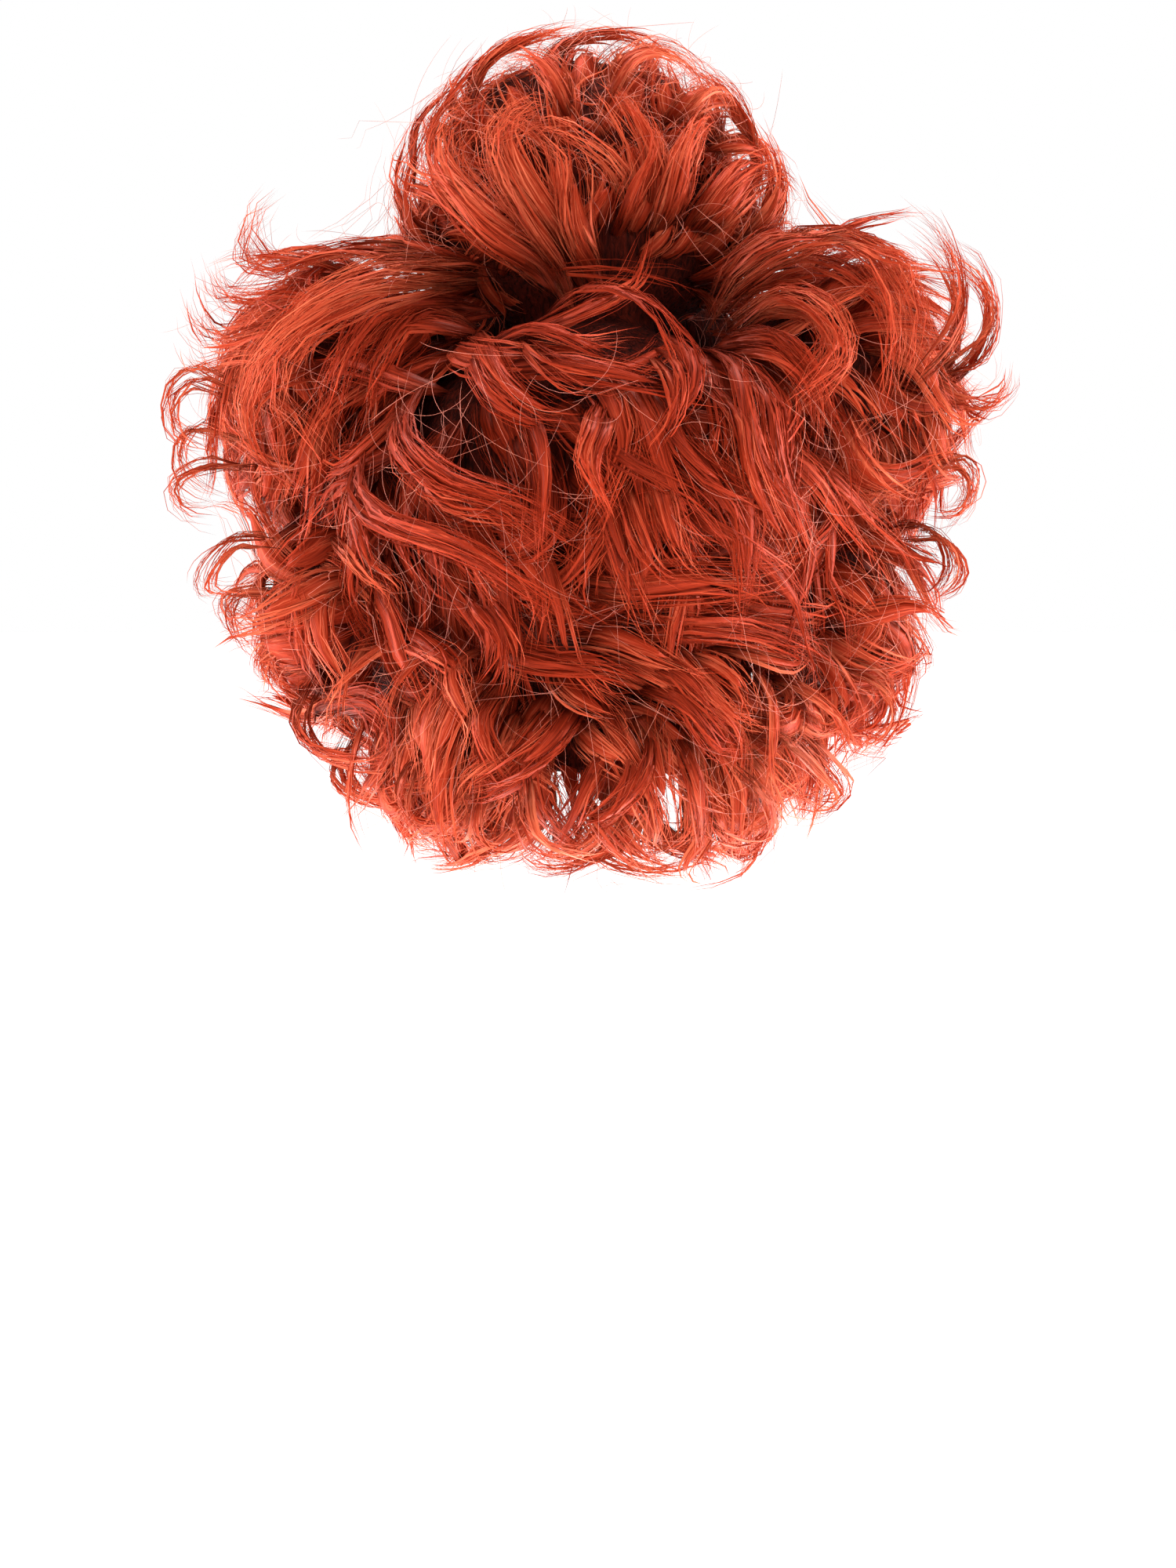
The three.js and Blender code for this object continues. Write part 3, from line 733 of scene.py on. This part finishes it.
def newMaterial(name):
    material = bpy.data.materials.new(name)
    material.use_nodes = True
    nodes = material.node_tree.nodes
    return material, nodes, material.node_tree.links, nodes["Principled BSDF"]


def added(nodes, kind, values=None):
    # a new shader node with the given values on its sockets
    node = nodes.new("ShaderNode" + kind)
    for socket, value in (values or {}).items():
        node.inputs[socket].default_value = value
    return node


def ramped(nodes, stops):
    # a colour ramp with a stop at each (position, colour), in order
    ramp = added(nodes, "ValToRGB")
    elements = ramp.color_ramp.elements
    for element, (position, colour) in zip(elements, (stops[0], stops[-1])):
        element.position = position
        element.color = colour
    for position, colour in stops[1:-1]:
        elements.new(position).color = colour
    return ramp


hairColours = {
    "shades": [(0.10, (0.150, 0.010, 0.004, 1)), (0.5, (0.48, 0.039, 0.012, 1)),
               (0.92, (0.840, 0.165, 0.074, 1))],
    # painted shade along each hair: dark at the root, full at the tip
    "paintedRootShade": [(0.0, (0.20, 0.20, 0.20, 1)), (0.36, (0.74, 0.74, 0.74, 1)), (0.85, (1.0, 1.0, 1.0, 1))],
    # pale salmon mixed into loose hairs: painted light through thin hair
    "pale": (0.95, 0.62, 0.52, 1),
    "toneShare": 0.45,     # of the lock's tone, its random tone with painted light and shade, in its streaks
    "streakLength": 0.28,
    "paintedTipGlow": 1.6,        # painted glow: how late along a hair the emission that stands in for light through it comes in
}


def hairShades(colours):
    group = bpy.data.node_groups.new("hairShades", "ShaderNodeTree")
    sockets = [
        ("Strand Map", "INPUT", "Vector"), ("Tone And Painted Light", "INPUT", "Float"), ("Along", "INPUT", "Float"),
        ("Streaks Per Cm", "INPUT", "Float"), ("Paleness", "INPUT", "Float"),
        ("Colour", "OUTPUT", "Color"), ("Glow", "OUTPUT", "Color"),
        ("Roughness", "OUTPUT", "Float"), ("Height", "OUTPUT", "Float"),
    ]
    for label, way, kind in sockets:
        group.interface.new_socket(label, in_out=way, socket_type="NodeSocket" + kind)
    nodes, links = group.nodes, group.links
    given = nodes.new("NodeGroupInput")
    result = nodes.new("NodeGroupOutput")

    stretch = added(nodes, "VectorMath")
    stretch.operation = "MULTIPLY"
    scale = added(nodes, "CombineXYZ", {"Y": colours["streakLength"]})
    links.new(given.outputs["Streaks Per Cm"], scale.inputs["X"])
    links.new(given.outputs["Strand Map"], stretch.inputs[0])
    links.new(scale.outputs["Vector"], stretch.inputs[1])
    streak = added(nodes, "TexNoise", {"Scale": 1.0, "Detail": 4.0, "Roughness": 0.62})
    links.new(stretch.outputs["Vector"], streak.inputs["Vector"])
    crisp = added(nodes, "MapRange", {"From Min": 0.32, "From Max": 0.68})
    links.new(streak.outputs["Fac"], crisp.inputs["Value"])

    mixed = added(nodes, "Mix", {"Factor": colours["toneShare"]})
    links.new(crisp.outputs["Result"], mixed.inputs["A"])
    links.new(given.outputs["Tone And Painted Light"], mixed.inputs["B"])
    shades = ramped(nodes, colours["shades"])
    links.new(mixed.outputs["Result"], shades.inputs["Fac"])

    rootShade = ramped(nodes, colours["paintedRootShade"])  # painted shade: dark at the root, where it lies under other hair, full at the tip
    links.new(given.outputs["Along"], rootShade.inputs["Fac"])
    darken = added(nodes, "VectorMath")
    darken.operation = "SCALE"
    links.new(shades.outputs["Color"], darken.inputs[0])
    links.new(rootShade.outputs["Color"], darken.inputs["Scale"])
    pale = added(nodes, "Mix")
    pale.data_type = "RGBA"
    pale.inputs[7].default_value = colours["pale"]
    links.new(given.outputs["Paleness"], pale.inputs[0])
    links.new(darken.outputs["Vector"], pale.inputs[6])
    links.new(pale.outputs[2], result.inputs["Colour"])
    # painted glow: the hair's colour, growing towards the tip, fed to emission in place of light through thin
    # hair
    thin = added(nodes, "Math", {1: colours["paintedTipGlow"]})
    thin.operation = "POWER"
    links.new(given.outputs["Along"], thin.inputs[0])
    glow = added(nodes, "VectorMath")
    glow.operation = "SCALE"
    links.new(pale.outputs[2], glow.inputs[0])
    links.new(thin.outputs["Value"], glow.inputs["Scale"])
    links.new(glow.outputs["Vector"], result.inputs["Glow"])

    rough = added(nodes, "MapRange", {"To Min": 0.34, "To Max": 0.54})
    links.new(crisp.outputs["Result"], rough.inputs["Value"])
    links.new(rough.outputs["Result"], result.inputs["Roughness"])
    links.new(streak.outputs["Fac"], result.inputs["Height"])
    return group


def attributeOf(nodes, label):
    attribute = added(nodes, "Attribute")
    attribute.attribute_name = label
    return attribute


def hairMaterial(name, group, finish):
    material, nodes, links, skin = newMaterial(name)
    place = added(nodes, "UVMap")
    place.uv_map = "strandMap"
    toneAndPaintedLight = attributeOf(nodes, "toneAndPaintedLight")
    along = attributeOf(nodes, "along")
    shades = nodes.new("ShaderNodeGroup")
    shades.node_tree = group
    shades.inputs["Streaks Per Cm"].default_value = finish["streaksPerCm"]
    shades.inputs["Paleness"].default_value = finish["paleness"]
    links.new(place.outputs["UV"], shades.inputs["Strand Map"])
    links.new(toneAndPaintedLight.outputs["Fac"], shades.inputs["Tone And Painted Light"])
    links.new(along.outputs["Fac"], shades.inputs["Along"])
    bump = added(nodes, "Bump", {"Strength": finish["relief"], "Distance": 0.0005})
    links.new(shades.outputs["Height"], bump.inputs["Height"])
    links.new(shades.outputs["Colour"], skin.inputs["Base Color"])
    links.new(shades.outputs["Roughness"], skin.inputs["Roughness"])
    # emission carries the painted glow
    links.new(shades.outputs["Glow"], skin.inputs["Emission Color"])
    links.new(bump.outputs["Normal"], skin.inputs["Normal"])
    skin.inputs["Emission Strength"].default_value = finish["glow"]
    skin.inputs["Specular IOR Level"].default_value = finish["gloss"]
    skin.inputs["Specular Tint"].default_value = finish["glossTint"]
    skin.inputs["Metallic"].default_value = finish["colouredGloss"]
    return material


shadesGroup = hairShades(hairColours)
lockFinish = {
    "streaksPerCm": 12.0,
    "relief": 0.3,
    "gloss": 0.10,
    "glossTint": (1.0, 0.60, 0.46, 1),
    "colouredGloss": 0.15,  # nylon hair throws its own colour back
    "paleness": 0.0,
    "glow": 0.19,           # painted glow: emission that stands in for light through the thin tips
}
# loose hairs are paler: painted light through the thin single hairs
looseFinish = dict(lockFinish, relief=0.0, gloss=0.3, colouredGloss=0.0, paleness=0.22)
curledHair = hairMaterial("curledHair", shadesGroup, lockFinish)
looseHair = hairMaterial("looseHair", shadesGroup, looseFinish)
print("hair material made")


# Sections of locks

def dress(piece, *solids):
    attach(piece, "root")
    if solids:
        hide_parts(*solids)
    return piece


def lockSection(name, solid, lobeNames, habits, rows, rowHabit, seed):
    chance = np.random.default_rng(seed)
    store = newStore()
    sheets = growCoat(store, lobeNames, habits["sheets"], chance)
    curls = growCoat(store, lobeNames, habits["curls"], chance)
    growTraced(store, rows, rowHabit, chance)
    print(f"{name}: {sheets} sheets, {curls} curls, {len(rows)} traced locks")
    return dress(meshFrom(name, store, curledHair), solid)


lockSection("top_locks", "hair_top", ["tuftBase", "tuftTop"], topHabits, topRows, tuftHabit, 11)
lockSection("front_locks", "hair_front", ["front"], frontHabits, [], tracedHabit, 12)
lockSection("left_locks", "hair_left", ["leftPuff", "leftJaw"], puffHabits, leftRows, edgeHabit, 13)
lockSection("right_locks", "hair_right", ["rightPuff", "rightJaw"], puffHabits, rightRows, edgeHabit, 14)
lockSection("back_locks", "hair_back", ["back"], backHabits, [], tracedHabit, 15)
lockSection("nape_locks", "hair_back", ["nape"], napeHabits, [], tracedHabit, 18)


def tracedSection(name, solid, rows, habit, seed):
    chance = np.random.default_rng(seed)
    store = newStore()
    growTraced(store, rows, habit, chance)
    return dress(meshFrom(name, store, curledHair), solid)


# the crown's traced locks take a darker tone: painted shade
tracedSection("crown_locks", "hair_back", backRows, dict(tracedHabit, toneAndPaintedLight=(0.0, 0.5)), 16)
tracedSection("hem_locks", "hair_back", hemRows, edgeHabit, 17)


innerHair = {
    "from": -0.132,        # height of the roots, above the lower edge of the cap
    "halfTurn": 78,        # degrees to each side of straight back
    "count": 40,
    "lining": 1.05,        # share of the head's room that the under layer leaves free
    # the inner locks take a darker tone: painted shade inside the cap
    "habit": dict(sheetHabit, sink=1, lift=(0, 6), roll=(0, 12), sweep=50, length=(84, 103),
                  width=(14, 20), flickShare=0.0, give=1.0, toneAndPaintedLight=(0.1, 0.5)),
}


def innerLocks(name, solid, settings, seed):
    chance = np.random.default_rng(seed)
    store = newStore()
    habit = settings["habit"]
    for turn in np.radians(np.linspace(-settings["halfTurn"], settings["halfTurn"], settings["count"])):
        out = np.array([math.sin(turn), -math.cos(turn), 0.0])
        root = out * headRadii * 1.03
        root[2] = settings["from"] + chance.uniform(-0.006, 0.006)
        heading = -upward + chance.normal(0.0, 0.12, 3)
        path = walkedPath(root, -out, heading, habit, chance)
        growLock(store, path, chance.uniform(*habit["width"]), chance, habit)
    return dress(meshFrom(name, store, curledHair), solid)


innerLocks("inner_locks", "hair_back", innerHair, 19)


# A dark layer under the locks: painted shade in the gaps between them

underShadeLayer = {
    "share": 0.78,       # of a form's radii, apart from these
    "shares": {"tuftBase": 0.80, "tuftTop": 0.80, "nape": 0.70},
    "voxel": 0.006,
    "columnDepth": 4.0,  # of the room for the head, in head heights
    # painted shade: near-black red, so that the gaps between locks read as deep shadow
    "colours": [(0.35, (0.016, 0.0018, 0.0008, 1)), (0.72, (0.11, 0.009, 0.003, 1))],
}


def lobeBall(form, lobe, share):
    made = bmesh.ops.create_uvsphere(form, u_segments=32, v_segments=20, radius=1.0)
    bmesh.ops.scale(form, verts=made["verts"], vec=Vector(lobe["radii"] * share))
    bmesh.ops.translate(form, verts=made["verts"], vec=Vector(lobe["middle"]))


def headColumn():
    # the room for the head: a dome with an upright column under it
    form = bmesh.new()
    steps = 10
    arc = [(math.cos(i / steps * math.pi / 2), math.sin(i / steps * math.pi / 2)) for i in range(steps + 1)]
    profile = [(0.0, -underShadeLayer["columnDepth"]), (1.0, -underShadeLayer["columnDepth"])] + arc
    corners = [form.verts.new((max(out, 0.0), 0.0, height)) for out, height in profile]
    edges = [form.edges.new(pair) for pair in zip(corners, corners[1:])]
    bmesh.ops.spin(form, geom=corners + edges, axis=(0, 0, 1), cent=(0, 0, 0), steps=40,
                   angle=2 * math.pi, use_merge=True)
    bmesh.ops.remove_doubles(form, verts=form.verts, dist=1e-4)
    bmesh.ops.scale(form, verts=form.verts, vec=Vector(headRadii * innerHair["lining"]))
    bmesh.ops.translate(form, verts=form.verts, vec=Vector(headMiddle))
    bmesh.ops.recalc_face_normals(form, faces=form.faces)
    mesh = bpy.data.meshes.new("headColumn")
    form.to_mesh(mesh)
    form.free()
    column = bpy.data.objects.new("headColumn", mesh)
    bpy.context.collection.objects.link(column)
    return column


def applied(piece):
    # the piece's modifiers, worked into its mesh
    graph = bpy.context.evaluated_depsgraph_get()
    mesh = bpy.data.meshes.new_from_object(piece.evaluated_get(graph))
    piece.modifiers.clear()
    piece.data = mesh
    return piece


def underLayer(name, material):
    form = bmesh.new()
    for lobe in lobes:
        lobeBall(form, lobes[lobe], underShadeLayer["shares"].get(lobe, underShadeLayer["share"]))
    mesh = bpy.data.meshes.new(name)
    form.to_mesh(mesh)
    form.free()
    piece = bpy.data.objects.new(name, mesh)
    bpy.context.collection.objects.link(piece)
    remesh = piece.modifiers.new("oneSkin", "REMESH")
    remesh.mode = "VOXEL"
    remesh.voxel_size = underShadeLayer["voxel"]
    column = headColumn()
    cut = piece.modifiers.new("headRoom", "BOOLEAN")
    cut.operation = "DIFFERENCE"
    cut.object = column
    cut.solver = "EXACT"
    applied(piece)
    bpy.data.objects.remove(column)
    piece.data.shade_smooth()
    piece.data.materials.clear()
    piece.data.materials.append(material)
    print(f"{name}: {len(piece.data.polygons)} faces")
    return dress(piece)


# the layer under the locks, painted near-black as shade
def underShadeMaterial():
    material, nodes, links, skin = newMaterial("paintedShadeUnder")
    place = added(nodes, "TexCoord")
    stretch = added(nodes, "Mapping", {"Scale": (420, 420, 60)})
    links.new(place.outputs["Object"], stretch.inputs["Vector"])
    grain = added(nodes, "TexNoise", {"Scale": 1.0, "Detail": 4.0, "Distortion": 1.2})
    links.new(stretch.outputs["Vector"], grain.inputs["Vector"])
    ramp = ramped(nodes, underShadeLayer["colours"])
    links.new(grain.outputs["Fac"], ramp.inputs["Fac"])
    links.new(ramp.outputs["Color"], skin.inputs["Base Color"])
    bump = added(nodes, "Bump", {"Strength": 1.0, "Distance": 0.002})
    links.new(grain.outputs["Fac"], bump.inputs["Height"])
    links.new(bump.outputs["Normal"], skin.inputs["Normal"])
    skin.inputs["Roughness"].default_value = 0.9
    skin.inputs["Specular IOR Level"].default_value = 0.1
    return material


underLayer("hair_under", underShadeMaterial())


# Single hairs that stand off the locks

strayHairs = {
    "spacing": 12.0,         # millimetres between roots
    "radius": (0.07, 0.11),
    "length": (34, 84),
    "turn": (40, 150),       # degrees, from root to tip
    "lift": (-4, 18),
    "stand": (1, 8),         # millimetres over the rounded form
    "stations": 13,
    "wild": 0.38,            # against the way the hair runs there
    "give": 0.5,
    "habit": curlHabit,
}
frizzHairs = dict(
    strayHairs, spacing=8.5, length=(14, 36), turn=(60, 180), lift=(-10, 30), stand=(-3, 4), wild=0.6,
    give=0.8, stations=9, radius=(0.06, 0.12))


def strayPoints(lobe, settings, chance):
    # each stray is an arc of its own, laid over the hair under it
    roots, normals = rootsOn(lobe, settings["spacing"], chance, 0.98)
    free = np.array([not inHollow(root, 1.7) for root in roots])
    roots, normals = roots[free], normals[free]
    count = len(roots)
    drawn = {key: chance.uniform(*settings[key], count)[:, None]
             for key in ("lift", "turn", "length", "stand", "radius")}
    runs = [headingAt(root, normal, settings["habit"], chance) for root, normal in zip(roots, normals)]
    level = unit(np.array(runs) + chance.normal(0.0, settings["wild"], (count, 3)))
    level = unit(level - normals * np.sum(level * normals, axis=1, keepdims=True))
    lift = np.radians(drawn["lift"])
    forward = level * np.cos(lift) + normals * np.sin(lift)
    bend = chance.normal(0.0, 0.8, (count, 3)) - normals * 0.7
    bend = unit(bend - forward * np.sum(bend * forward, axis=1, keepdims=True))
    u = np.linspace(0.0, 1.0, settings["stations"])[None, :, None]
    turn = np.radians(drawn["turn"])
    arc = (drawn["length"] * mm / turn)[:, None, :]
    angle = turn[:, None, :] * u
    points = (roots + normals * drawn["stand"] * mm)[:, None, :] + arc * (
        np.sin(angle) * forward[:, None, :] + (1.0 - np.cos(angle)) * bend[:, None, :])
    points = clearOfHead(heldIn(points, settings["give"]))
    inside = np.all((points > lowest + 0.002) & (points < highest - 0.002), axis=(1, 2))
    radius = drawn["radius"][inside] * mm * (1.0 - 0.7 * u[..., 0] ** 3)
    return points[inside], normals[inside], radius


def growStrays(name, lobeNames, settings, seed):
    chance = np.random.default_rng(seed)
    store = newStore()
    for lobe in lobeNames:
        points, normals, radius = strayPoints(lobe, settings, chance)
        side = np.broadcast_to(normals[:, None, :], points.shape)
        t = np.broadcast_to(np.linspace(0.0, 1.0, settings["stations"]), radius.shape)
        kept = len(points)
        maps = np.stack([np.broadcast_to(chance.uniform(0.0, 40.0, (kept, 1)), t.shape), t * 4.0], axis=-1)
        # a light tone for the strays: painted light through thin hair
        addTubes(store, points, side, radius, radius, 3, maps, chance.uniform(0.6, 1.0, kept), 0.6 + 0.4 * t)
    return dress(meshFrom(name, store, looseHair))


growStrays("stray_hairs", list(lobes), strayHairs, 21)
growStrays("tuft_frizz", ["tuftBase", "tuftTop"], frizzHairs, 22)


# Cap and band

def clothMaterial(name, look):
    material, nodes, links, skin = newMaterial(name)
    place = added(nodes, "TexCoord")
    rows = added(nodes, "TexWave", {"Scale": look["rows"], "Distortion": 0.6})
    rows.bands_direction = "Z"
    links.new(place.outputs["Object"], rows.inputs["Vector"])
    threads = added(nodes, "TexVoronoi", {"Scale": look["threads"]})
    threads.feature = "DISTANCE_TO_EDGE"
    links.new(place.outputs["Object"], threads.inputs["Vector"])
    both = added(nodes, "Mix", {"Factor": look["threadShare"]})
    links.new(rows.outputs["Fac"], both.inputs["A"])
    links.new(threads.outputs["Distance"], both.inputs["B"])
    ramp = ramped(nodes, [(0.0, look["dark"]), (0.7, look["light"])])
    links.new(both.outputs["Result"], ramp.inputs["Fac"])
    links.new(ramp.outputs["Color"], skin.inputs["Base Color"])
    bump = added(nodes, "Bump", {"Strength": 0.7, "Distance": look["relief"]})
    links.new(both.outputs["Result"], bump.inputs["Height"])
    links.new(bump.outputs["Normal"], skin.inputs["Normal"])
    skin.inputs["Roughness"].default_value = 0.85
    return material


capLook = {"rows": 190.0, "threads": 620.0, "threadShare": 0.4, "relief": 0.0007,
           "dark": (0.030, 0.006, 0.004, 1), "light": (0.165, 0.030, 0.018, 1)}
bandLook = {"rows": 260.0, "threads": 900.0, "threadShare": 0.25, "relief": 0.0004,
            "dark": (0.016, 0.005, 0.004, 1), "light": (0.085, 0.020, 0.014, 1)}
for node, look in (("cap", capLook), ("edge_band", bandLook)):
    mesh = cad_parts[node].data
    mesh.materials.clear()
    mesh.materials.append(clothMaterial(node + "Cloth", look))
print("cap and band finished")


# Floor, backdrop and light

studio = {
    "floorHeight": -0.524,
    "floorRadius": 16.0,
    "colour": (0.9, 0.9, 0.9, 1),
    "glow": 0.75,      # the white floor is lit from below
    "air": 0.50,       # light of the room on the hair
}


def floorOf(settings):
    form = bmesh.new()
    bmesh.ops.create_circle(form, cap_ends=True, segments=64, radius=settings["floorRadius"])
    bmesh.ops.translate(form, verts=form.verts, vec=(0, 0, settings["floorHeight"]))
    mesh = bpy.data.meshes.new("floor")
    form.to_mesh(mesh)
    form.free()
    material, _, _, skin = newMaterial("floorPaper")
    skin.inputs["Base Color"].default_value = settings["colour"]
    skin.inputs["Roughness"].default_value = 0.9
    skin.inputs["Emission Color"].default_value = (1, 1, 1, 1)
    skin.inputs["Emission Strength"].default_value = settings["glow"]
    mesh.materials.append(material)
    piece = bpy.data.objects.new("floor", mesh)
    bpy.context.collection.objects.link(piece)


lamps = [
    # name, place, size, power
    ("keyLight", (-0.8, -1.8, 1.7), 0.7, 22),
    ("fillLight", (1.5, -1.7, 0.7), 1.2, 6),
    ("topLight", (0.1, 0.3, 1.9), 1.0, 50),
    ("leftRim", (-1.9, 0.35, 0.1), 1.2, 56),
    ("rightRim", (1.9, 0.35, 0.1), 1.2, 62),
    ("lowLight", (0.0, 0.1, -0.5), 0.5, 6),
]


def lightStudio():
    for name, place, size, power in lamps:
        data = bpy.data.lights.new(name, "AREA")
        data.shape = "DISK"
        data.size = size
        data.energy = power
        lamp = bpy.data.objects.new(name, data)
        bpy.context.collection.objects.link(lamp)
        lamp.location = place
        aim = Vector((0.0, 0.0, -0.05)) - Vector(place)
        lamp.rotation_euler = aim.to_track_quat("-Z", "Y").to_euler()
    world = bpy.data.worlds.new("studioAir")
    world.use_nodes = True
    nodes, links = world.node_tree.nodes, world.node_tree.links
    seen = added(nodes, "LightPath")
    strength = added(nodes, "MapRange", {"To Min": studio["air"], "To Max": 1.0})  # softer on the wig
    links.new(seen.outputs["Is Camera Ray"], strength.inputs["Value"])
    links.new(strength.outputs["Result"], nodes["Background"].inputs["Strength"])
    nodes["Background"].inputs["Color"].default_value = (1, 1, 1, 1)
    bpy.context.scene.world = world
    bpy.context.scene.view_settings.view_transform = "Standard"


floorOf(studio)
lightStudio()
print("studio lit")
